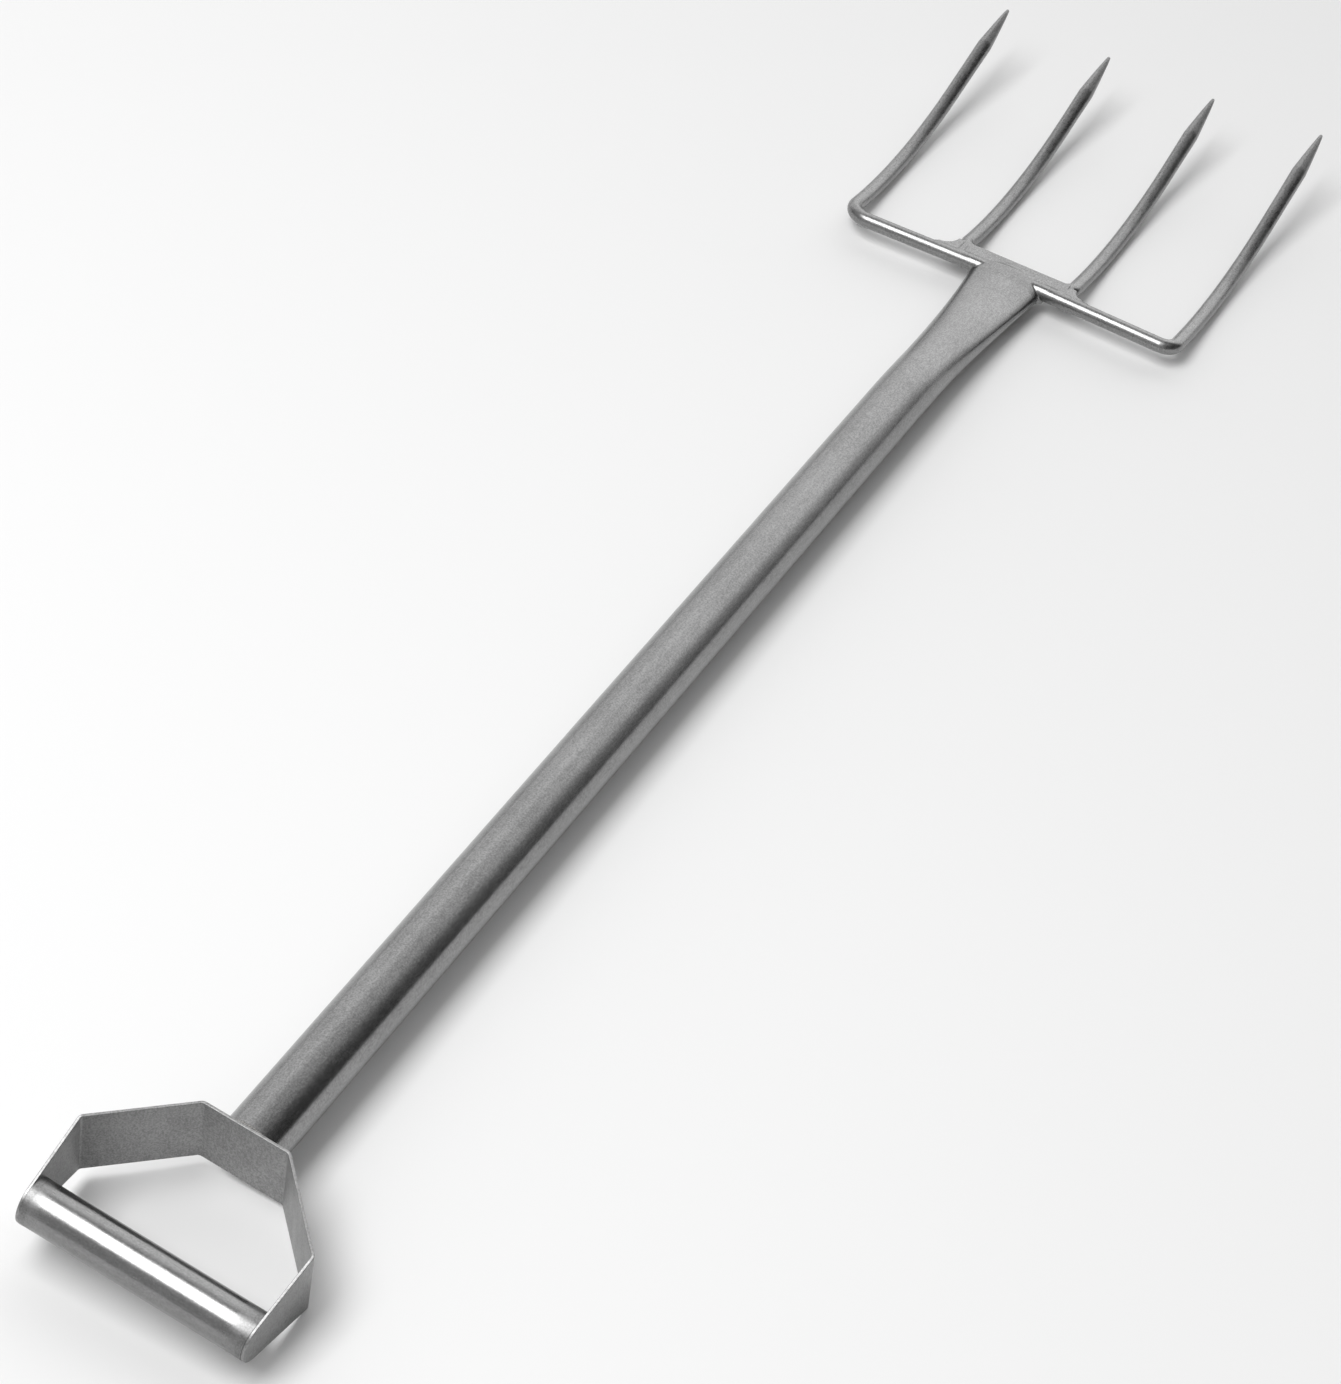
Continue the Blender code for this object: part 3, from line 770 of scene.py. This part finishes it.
def make_foot_bead(tree):
    """The bead round the shaft where it stands on the strip's middle flat."""
    radius = SHAFT_R + 1.3 * MM
    y = STRIP_TOP_Y + STRIP_THICK / 2 + 1.0 * MM
    steps = 72
    angles = [math.tau * k / steps for k in range(steps)]
    points = [Vector((radius * math.cos(a), y, radius * math.sin(a))) for a in angles]
    return bead("shaft_foot_bead", tree, points, 1.25, 2.1, 0.10, 5, cyclic=True)


def make_under_bead(tree):
    """The bead that closes the shaft's lower wall up to the underside of the crossbar."""
    half = FLAT_HALF_WIDTH - 4.0 * MM
    steps = 40
    points = []
    for k in range(steps + 1):
        x = half * (2 * k / steps - 1)
        low = FLAT_Z - FLAT_HALF_HEIGHT * math.sqrt(1 - (x / FLAT_HALF_WIDTH) ** 2)
        points.append(Vector((x, CROSSBAR_Y - ROD * 0.2, low + 2.2 * MM)))
    return bead("under_bead", tree, points, 1.4, 2.5, 0.14, 8)


def make_bar_bead(tree):
    """The bead along the groove under the two bars."""
    y = (CROSSBAR_Y + INNER_Y) / 2
    z = CROSSBAR_Z - ROD + 1.6 * MM
    points = [Vector((x * MM, y, z)) for x in range(-35, 36)]
    return bead("bar_bead", tree, points, 1.4, 2.2, 0.14, 9)


# Studio.

# Radiances, where 1 is a white that just shows as white.
WALL_GLOW = 1.60
ROOM_GLOW = 0.54
BOX_GLOW = 6.5
# The softbox hangs up on the left, over the grip end.
BOX_PLACE = Vector((-1.0, -1.3, 3.2))
BOX_WIDTH = 1.8
BOX_LENGTH = 2.75
# How much of its light the horizon lets through.
HORIZON_SHARE = 0.6
# Slants of the far wall's edge and of the flag's edge: how X counts against Y, and Y against X.
WALL_SLANT = 0.3
FLAG_SLANT = 4.0


def make_floor():
    bm = bmesh.new()
    bmesh.ops.create_grid(bm, x_segments=1, y_segments=1, size=9.0)
    mesh = bpy.data.meshes.new("floor")
    bm.to_mesh(mesh)
    bm.free()
    material = bpy.data.materials.new("pale_paper")
    material.use_nodes = True
    shader = material.node_tree.nodes["Principled BSDF"]
    shader.inputs["Base Color"].default_value = linear("#E5E5E5")
    shader.inputs["Roughness"].default_value = 0.9
    shader.inputs["Specular IOR Level"].default_value = 0.1
    mesh.materials.append(material)
    floor = bpy.data.objects.new("floor", mesh)
    bpy.context.scene.collection.objects.link(floor)
    floor.location.z = -0.2 * MM


def make_softbox():
    """A rectangular soft light that faces the floor. Its power gives it the radiance BOX_GLOW."""
    data = bpy.data.lights.new("overhead_softbox", "AREA")
    data.shape = "RECTANGLE"
    data.size = BOX_WIDTH
    data.size_y = BOX_LENGTH
    data.energy = BOX_GLOW * BOX_WIDTH * BOX_LENGTH * math.pi
    light = bpy.data.objects.new("overhead_softbox", data)
    bpy.context.scene.collection.objects.link(light)
    light.location = BOX_PLACE


def make_surroundings():
    """A grey studio by direction: a pale far wall, a dark flag on the far right, a dim horizon.

    The ramps run between values of X, Y and Z of a direction, so each end of one is the sine of an angle.
    """
    scene = bpy.context.scene
    scene.view_settings.view_transform = "Standard"
    world = bpy.data.worlds.new("studio")
    scene.world = world
    world.use_nodes = True
    tree = world.node_tree
    way = add(tree, "ShaderNodeTexCoord").outputs["Generated"]
    x, y, z = add(tree, "ShaderNodeSeparateXYZ", n0=way).outputs[:3]

    def maths(operation, a, b):
        node = add(tree, "ShaderNodeMath", {"operation": operation})
        for socket, value in zip(node.inputs, (a, b)):
            if isinstance(value, float):
                socket.default_value = value
            else:
                tree.links.new(value, socket)
        return node.outputs[0]

    def both(a, b):
        return maths("MULTIPLY", a, b)

    # The far wall, which ends at its right edge and at its top.
    lean = maths("SUBTRACT", y, both(x, WALL_SLANT))
    wall = both(ramp(tree, lean, 0.40, 0.60, 0.0, 1.0), ramp(tree, z, 0.70, 0.88, 1.0, 0.15))
    level = maths("ADD", both(wall, WALL_GLOW - ROOM_GLOW), ROOM_GLOW)
    # The flag, a dark card on the far right that is deepest at its near end, and the dim far horizon.
    far = ramp(tree, y, 0.15, 0.40, 0.0, 1.0)
    slant = maths("SUBTRACT", x, both(y, FLAG_SLANT))
    flag = both(ramp(tree, slant, -1.72, -1.60, 0.0, 1.0), ramp(tree, y, 0.50, 0.60, 0.92, 0.20))
    horizon = ramp(tree, z, 0.0, 0.22, 1.0 - HORIZON_SHARE, 0.0)
    # The near right of the room, which is dimmer.
    near_right = both(ramp(tree, x, 0.20, 0.60, 0.0, 0.55), maths("SUBTRACT", 1.0, far))
    for loss in (both(flag, far), both(horizon, far), near_right):
        level = both(level, maths("SUBTRACT", 1.0, loss))
    # Both sides fall off, the right one more.
    sides = both(ramp(tree, x, -0.75, -0.20, 0.72, 1.0), ramp(tree, x, 0.40, 0.76, 1.0, 0.48))
    level = both(level, sides)
    tree.links.new(level, tree.nodes["Background"].inputs["Strength"])
    tree.nodes["Background"].inputs["Color"].default_value = (1.0, 1.0, 1.0, 1.0)


make_camera()
make_floor()
make_surroundings()
make_softbox()

ROD_TREE = make_rod_tree()
BEAD_TREE = make_bead_tree()

declare(refined("grip_bracket", "folded_strip", STRIP_STEEL, 30.0), "strip_steel", "grip_bracket")
declare(make_grip_tube(), "tube_steel", "grip_tube")
declare(make_grip_seam("grip_seam_left", -1), "weld_steel", "weld_grip_left")
declare(make_grip_seam("grip_seam_right", 1), "weld_steel", "weld_grip_right")
declare(make_shaft(), "shaft_steel", "shaft")
declare(make_foot_bead(BEAD_TREE), "weld_steel", "weld_shaft_to_bracket")
declare(make_rod("outer_rod_satin", OUTER_LINE, ROD_TREE), "rod_steel", "outer_tine_rod")
declare(make_rod("inner_rod_satin", INNER_LINE, ROD_TREE), "rod_steel", "inner_tine_rod")
declare(
    make_head_weld(ROD_TREE),
    "weld_steel",
    "weld_rods_top",
    "weld_shaft_top",
    "weld_shaft_left",
    "weld_shaft_right",
    "weld_root_left",
    "weld_root_right",
)
declare(make_under_bead(BEAD_TREE), "weld_steel", "weld_shaft_under")
declare(make_bar_bead(BEAD_TREE), "weld_steel", "weld_rods_under")
